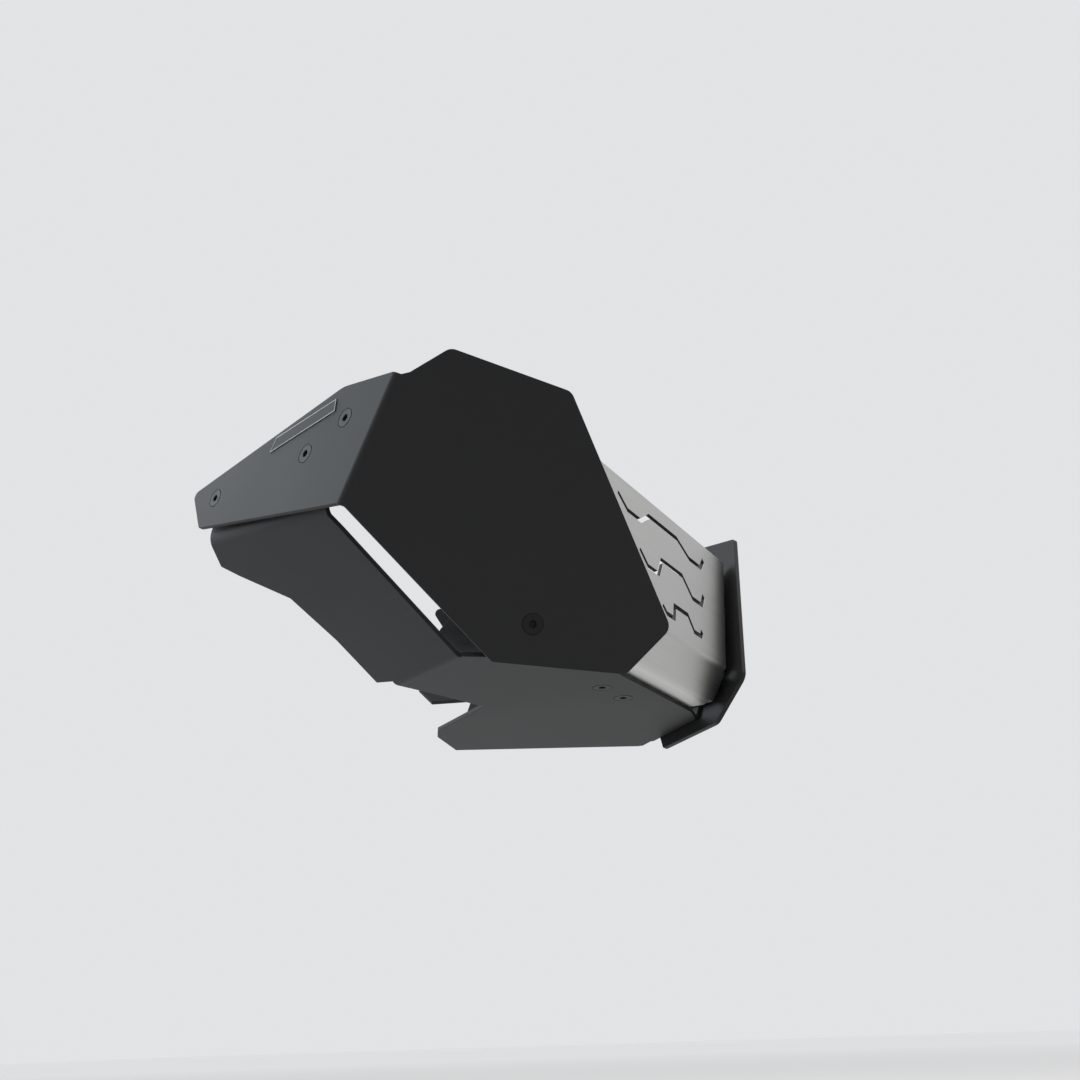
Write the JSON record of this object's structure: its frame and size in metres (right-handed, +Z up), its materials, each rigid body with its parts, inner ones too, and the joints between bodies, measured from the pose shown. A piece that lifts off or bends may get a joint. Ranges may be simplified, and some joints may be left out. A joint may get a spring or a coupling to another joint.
{
  "type": "motorcycle engine spoiler",
  "caption": "Folded sheet-metal engine spoiler for a motorcycle's underside, with angled black cheeks, a belly pan and a slotted bare-metal front plate.",
  "frame": {"origin": "centre of the overall box, at its underside", "axes": "+X forward along the machine, +Y to the rider's left, +Z up; the belly pan's floor is level"},
  "size_m": [0.2935, 0.3894, 0.1689],
  "materials": {
    "black_coat": "satin powder coat",
    "bare_plate": "fine brushed",
    "bracket_coat": "satin black",
    "screw_black": "black oxide",
    "zinc": "zinc plated",
    "spacer_nylon": "matt black"
  },
  "bodies": {
    "root": {"front_plate": "bare_plate", "right_cheek": "black_coat", "left_cheek": "black_coat", "belly_pan": "black_coat", "right_bracket": "bracket_coat", "left_bracket": "bracket_coat", "right_wing_screws": "screw_black", "right_wing_nuts": "zinc", "right_wing_spacers": "spacer_nylon", "left_wing_screws": "screw_black", "left_wing_nuts": "zinc", "left_wing_spacers": "spacer_nylon", "lower_screws": "screw_black", "lower_nuts": "zinc"}
  },
  "joints": []
}
